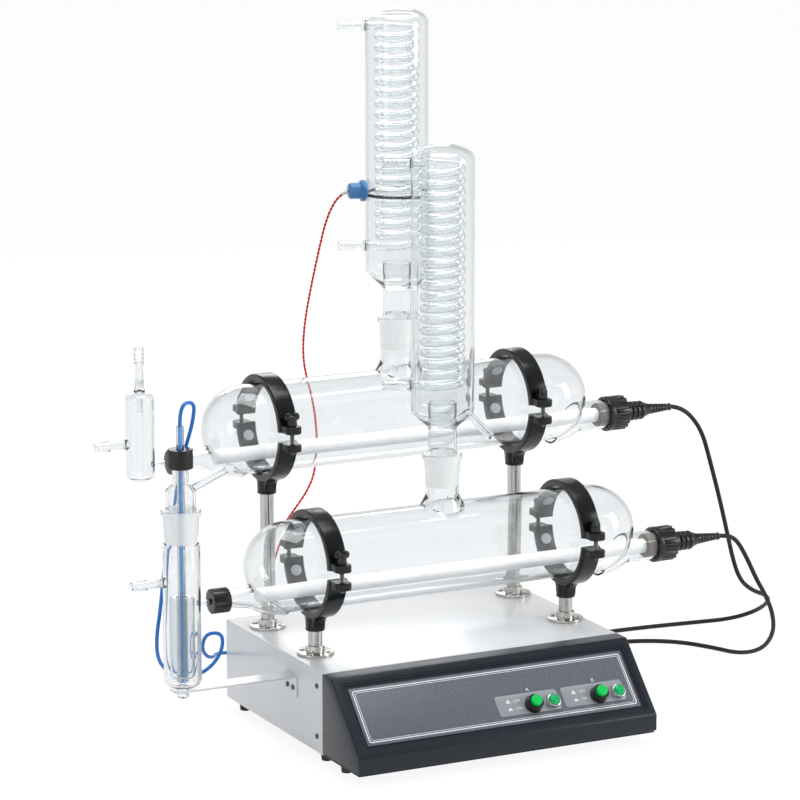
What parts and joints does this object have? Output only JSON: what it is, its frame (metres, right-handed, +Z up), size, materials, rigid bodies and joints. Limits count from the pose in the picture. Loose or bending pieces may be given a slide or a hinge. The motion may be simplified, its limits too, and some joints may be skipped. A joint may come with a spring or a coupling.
{
  "type": "glass water distiller",
  "caption": "Bench-top double glass water distiller: two horizontal boilers with quartz heaters, upright coil condensers and level devices on a steel base with a sloping control panel.",
  "frame": {"origin": "on the surface it stands on, under the middle of the sheet steel case", "axes": "+X to the right along the boilers, +Y to the back, away from the control panel, +Z up"},
  "size_m": [0.8651, 0.3988, 0.7589],
  "materials": {
    "white_steel": "satin",
    "dark_steel": "satin",
    "black_plastic": "satin",
    "panel": "satin",
    "green_plastic": "gloss",
    "green_lens": "gloss",
    "chrome": "polished",
    "steel": "brushed",
    "rubber": "matte",
    "glass": "clear",
    "quartz": "matte",
    "blue_plastic": "gloss",
    "red_cord": "matte",
    "blue_cord": "matte",
    "black_cord": "matte",
    "board": "matte",
    "float": "matte"
  },
  "bodies": {
    "base": {"base_case": "white_steel", "bottom_plate": "dark_steel", "front_bezel": "dark_steel", "fascia_panel": "panel", "rubber_feet": "rubber", "switch_bodies": "black_plastic", "lamp_housings": "chrome", "lamp_lenses": "green_lens", "case_screws": "steel", "flange_screws": "steel", "post_flanges": "steel", "support_posts": "steel", "rear_glands": "black_plastic", "control_board": "board", "thermostat": "blue_plastic", "thermostat_strap": "rubber", "thermostat_wire": "red_cord", "level_cup": "glass", "controller_tube": "glass", "controller_head": "glass", "guide_tube": "glass", "level_sensor": "blue_plastic", "sensor_lead": "blue_cord", "level_bracket": "white_steel", "front_left_cradle": "black_plastic", "front_right_cradle": "black_plastic", "front_boiler_glass": "glass", "front_heater_tube": "quartz", "front_heater_head": "rubber", "front_heater_lead": "black_cord", "back_left_cradle": "black_plastic", "back_right_cradle": "black_plastic", "back_boiler_glass": "glass", "back_heater_tube": "quartz", "back_heater_head": "rubber", "back_heater_lead": "black_cord", "back_condenser_glass": "glass", "back_condenser_coil": "glass"},
    "button_a": {"button_a": "green_plastic"},
    "button_b": {"button_b": "green_plastic"},
    "front_left_arch": {"front_left_arch": "black_plastic"},
    "front_left_front_screw": {"front_left_front_screw": "black_plastic"},
    "front_left_rear_screw": {"front_left_rear_screw": "black_plastic"},
    "front_right_arch": {"front_right_arch": "black_plastic"},
    "front_right_front_screw": {"front_right_front_screw": "black_plastic"},
    "front_right_rear_screw": {"front_right_rear_screw": "black_plastic"},
    "back_left_arch": {"back_left_arch": "black_plastic"},
    "back_left_front_screw": {"back_left_front_screw": "black_plastic"},
    "back_left_rear_screw": {"back_left_rear_screw": "black_plastic"},
    "back_right_arch": {"back_right_arch": "black_plastic"},
    "back_right_front_screw": {"back_right_front_screw": "black_plastic"},
    "back_right_rear_screw": {"back_right_rear_screw": "black_plastic"},
    "front_heater_nut": {"front_heater_nut": "black_plastic"},
    "back_heater_nut": {"back_heater_nut": "black_plastic"},
    "controller_port_cap": {"controller_port_cap": "black_plastic"},
    "cup_port_cap": {"cup_port_cap": "black_plastic"},
    "head_cap": {"head_cap": "black_plastic"},
    "level_float": {"level_float": "float"},
    "front_condenser": {"front_condenser_glass": "glass", "front_condenser_coil": "glass"}
  },
  "joints": [
    {"name": "button_a_press", "type": "slide", "parent": "base", "child": "button_a", "axis": [0, 0.7187, -0.6953], "range_m": [0, 0.003], "stiffness_N_per_m": 700, "springref_m": -0.002},
    {"name": "button_b_press", "type": "slide", "parent": "base", "child": "button_b", "axis": [0, 0.7187, -0.6953], "range_m": [0, 0.003], "stiffness_N_per_m": 700, "springref_m": -0.002},
    {"name": "front_left_arch_lift", "type": "slide", "parent": "base", "child": "front_left_arch", "axis": [0, 0, 1], "range_m": [0, 0.035]},
    {"name": "front_left_front_screw_turn", "type": "hinge", "parent": "front_left_arch", "child": "front_left_front_screw", "pos_m": [-0.148, -0.1125, 0.198], "axis": [0, 0, 1], "continuous": true},
    {"name": "front_left_rear_screw_turn", "type": "hinge", "parent": "front_left_arch", "child": "front_left_rear_screw", "pos_m": [-0.148, 0.0165, 0.198], "axis": [0, 0, 1], "continuous": true},
    {"name": "front_right_arch_lift", "type": "slide", "parent": "base", "child": "front_right_arch", "axis": [0, 0, 1], "range_m": [0, 0.035]},
    {"name": "front_right_front_screw_turn", "type": "hinge", "parent": "front_right_arch", "child": "front_right_front_screw", "pos_m": [0.152, -0.1125, 0.198], "axis": [0, 0, 1], "continuous": true},
    {"name": "front_right_rear_screw_turn", "type": "hinge", "parent": "front_right_arch", "child": "front_right_rear_screw", "pos_m": [0.152, 0.0165, 0.198], "axis": [0, 0, 1], "continuous": true},
    {"name": "back_left_arch_lift", "type": "slide", "parent": "base", "child": "back_left_arch", "axis": [0, 0, 1], "range_m": [0, 0.035]},
    {"name": "back_left_front_screw_turn", "type": "hinge", "parent": "back_left_arch", "child": "back_left_front_screw", "pos_m": [-0.148, 0.0055, 0.32], "axis": [0, 0, 1], "continuous": true},
    {"name": "back_left_rear_screw_turn", "type": "hinge", "parent": "back_left_arch", "child": "back_left_rear_screw", "pos_m": [-0.148, 0.1345, 0.32], "axis": [0, 0, 1], "continuous": true},
    {"name": "back_right_arch_lift", "type": "slide", "parent": "base", "child": "back_right_arch", "axis": [0, 0, 1], "range_m": [0, 0.035]},
    {"name": "back_right_front_screw_turn", "type": "hinge", "parent": "back_right_arch", "child": "back_right_front_screw", "pos_m": [0.152, 0.0055, 0.32], "axis": [0, 0, 1], "continuous": true},
    {"name": "back_right_rear_screw_turn", "type": "hinge", "parent": "back_right_arch", "child": "back_right_rear_screw", "pos_m": [0.152, 0.1345, 0.32], "axis": [0, 0, 1], "continuous": true},
    {"name": "front_heater_nut_turn", "type": "hinge", "parent": "base", "child": "front_heater_nut", "pos_m": [0.2735, -0.048, 0.171], "axis": [1, 0, 0], "continuous": true},
    {"name": "back_heater_nut_turn", "type": "hinge", "parent": "base", "child": "back_heater_nut", "pos_m": [0.2795, 0.07, 0.293], "axis": [1, 0, 0], "continuous": true},
    {"name": "controller_port_cap_turn", "type": "hinge", "parent": "base", "child": "controller_port_cap", "pos_m": [-0.2585, -0.048, 0.171], "axis": [1, 0, 0], "continuous": true},
    {"name": "cup_port_cap_turn", "type": "hinge", "parent": "base", "child": "cup_port_cap", "pos_m": [-0.2525, 0.07, 0.293], "axis": [1, 0, 0], "continuous": true},
    {"name": "head_cap_turn", "type": "hinge", "parent": "base", "child": "head_cap", "pos_m": [-0.2995, -0.048, 0.3255], "axis": [0, 0, 1], "continuous": true},
    {"name": "float_rise", "type": "slide", "parent": "base", "child": "level_float", "axis": [0, 0, 1], "range_m": [0, 0.04]},
    {"name": "front_condenser_turn", "type": "hinge", "parent": "base", "child": "front_condenser", "pos_m": [0.0015, -0.048, 0.3], "axis": [0, 0, 1], "range_deg": [-60, 60]}
  ]
}
